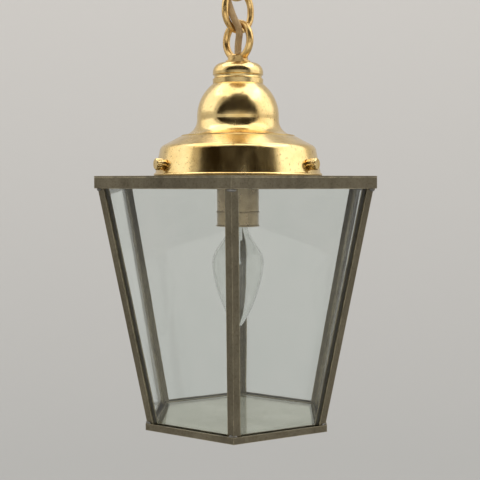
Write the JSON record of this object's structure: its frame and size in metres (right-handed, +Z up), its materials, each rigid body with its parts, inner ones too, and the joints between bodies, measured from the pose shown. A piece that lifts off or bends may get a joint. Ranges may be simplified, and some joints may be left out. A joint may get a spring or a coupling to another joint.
{
  "type": "ceiling lantern",
  "caption": "Hexagonal glass lantern that tapers towards its foot, under a bell-shaped polished brass cap, hung on an oval-link chain with braided flex from a round ceiling rose.",
  "frame": {"origin": "on the lamp's axis at the ceiling, midway between the two fixing holes, level with the upper face of the fixing bar's feet and the rose's edge", "axes": "+Z up; -Y faces the front view, where one corner of the lantern points; +X to the right of that view"},
  "size_m": [0.1822, 0.2104, 0.3905],
  "materials": {
    "brass": "polished, lightly aged",
    "frame_brass": "dark patinated",
    "lantern_glass": "pale grey-green old sheet glass",
    "zinc_steel": "zinc plated",
    "braid": "old-gold braided cotton",
    "core_insulation": "smooth",
    "porcelain": "glazed",
    "contact_brass": "plain",
    "holder_brass": "brown lacquered",
    "bulb_metal": "drawn",
    "bulb_black": "black vitrified glass",
    "bulb_glass": "clear",
    "filament": "dull wire"
  },
  "bodies": {
    "ceiling_rose": {"fixing_bar": "zinc_steel", "rose": "brass", "rose_tube": "zinc_steel", "rose_nuts": "zinc_steel", "rose_loop": "brass", "terminal_block": "porcelain", "terminal_screws": "contact_brass", "flex_rose_end": "braid", "cores_rose": "core_insulation", "flex_1": "braid"},
    "link_1": {"link_1": "brass", "flex_2": "braid"},
    "link_2": {"link_2": "brass", "flex_3": "braid"},
    "link_3": {"link_3": "brass", "flex_4": "braid"},
    "lantern": {"lamp_loop": "brass", "collar": "brass", "cap_dome": "brass", "gallery": "brass", "lamp_tube": "zinc_steel", "lamp_washer": "zinc_steel", "lamp_nut": "zinc_steel", "flex_lamp_end": "braid", "cores_lamp": "core_insulation", "top_plate": "frame_brass", "neck_ring": "frame_brass", "top_rim": "frame_brass", "foot_rim": "frame_brass", "floor_pane": "lantern_glass", "corner_strip_1": "frame_brass", "corner_strip_2": "frame_brass", "corner_strip_3": "frame_brass", "corner_strip_4": "frame_brass", "corner_strip_5": "frame_brass", "corner_strip_6": "frame_brass", "pane_1": "lantern_glass", "pane_2": "lantern_glass", "pane_3": "lantern_glass", "pane_4": "lantern_glass", "pane_5": "lantern_glass", "pane_6": "lantern_glass", "holder_cap": "holder_brass", "holder_barrel": "holder_brass", "holder_insert": "porcelain", "holder_sleeve": "contact_brass", "holder_contact": "contact_brass"},
    "gallery_screw_1": {"gallery_screw_1": "brass"},
    "gallery_screw_2": {"gallery_screw_2": "brass"},
    "gallery_screw_3": {"gallery_screw_3": "brass"},
    "bulb": {"bulb_cap": "bulb_metal", "bulb_insulator": "bulb_black", "bulb_contact": "bulb_metal", "bulb_glass": "bulb_glass", "bulb_stem": "bulb_glass", "bulb_filament": "filament"}
  },
  "joints": [
    {"name": "link_1_swing", "type": "hinge", "parent": "ceiling_rose", "child": "link_1", "pos_m": [0, 0, -0.05225], "axis": [0.7071, -0.7071, 0], "range_deg": [-25, 25], "deforming": ["flex_1"]},
    {"name": "link_2_swing", "type": "hinge", "parent": "link_1", "child": "link_2", "pos_m": [0, 0, -0.07435], "axis": [0.7071, 0.7071, 0], "range_deg": [-25, 25], "deforming": ["flex_2"]},
    {"name": "link_3_swing", "type": "hinge", "parent": "link_2", "child": "link_3", "pos_m": [0, 0, -0.09665], "axis": [0.7071, -0.7071, 0], "range_deg": [-25, 25], "deforming": ["flex_3"]},
    {"name": "lantern_swing", "type": "hinge", "parent": "link_3", "child": "lantern", "pos_m": [0, 0, -0.11895], "axis": [0.7071, 0.7071, 0], "range_deg": [-25, 25], "deforming": ["flex_4"]},
    {"name": "gallery_screw_1_turn_out", "type": "slide", "parent": "lantern", "child": "gallery_screw_1", "axis": [-0.866, -0.5, 0], "range_m": [0, 0.005]},
    {"name": "gallery_screw_2_turn_out", "type": "slide", "parent": "lantern", "child": "gallery_screw_2", "axis": [0.866, -0.5, 0], "range_m": [0, 0.005]},
    {"name": "gallery_screw_3_turn_out", "type": "slide", "parent": "lantern", "child": "gallery_screw_3", "axis": [0, 1, 0], "range_m": [0, 0.005]},
    {"name": "bulb_unscrew", "type": "slide", "parent": "lantern", "child": "bulb", "axis": [0, 0, -1], "range_m": [0, 0.02]}
  ]
}
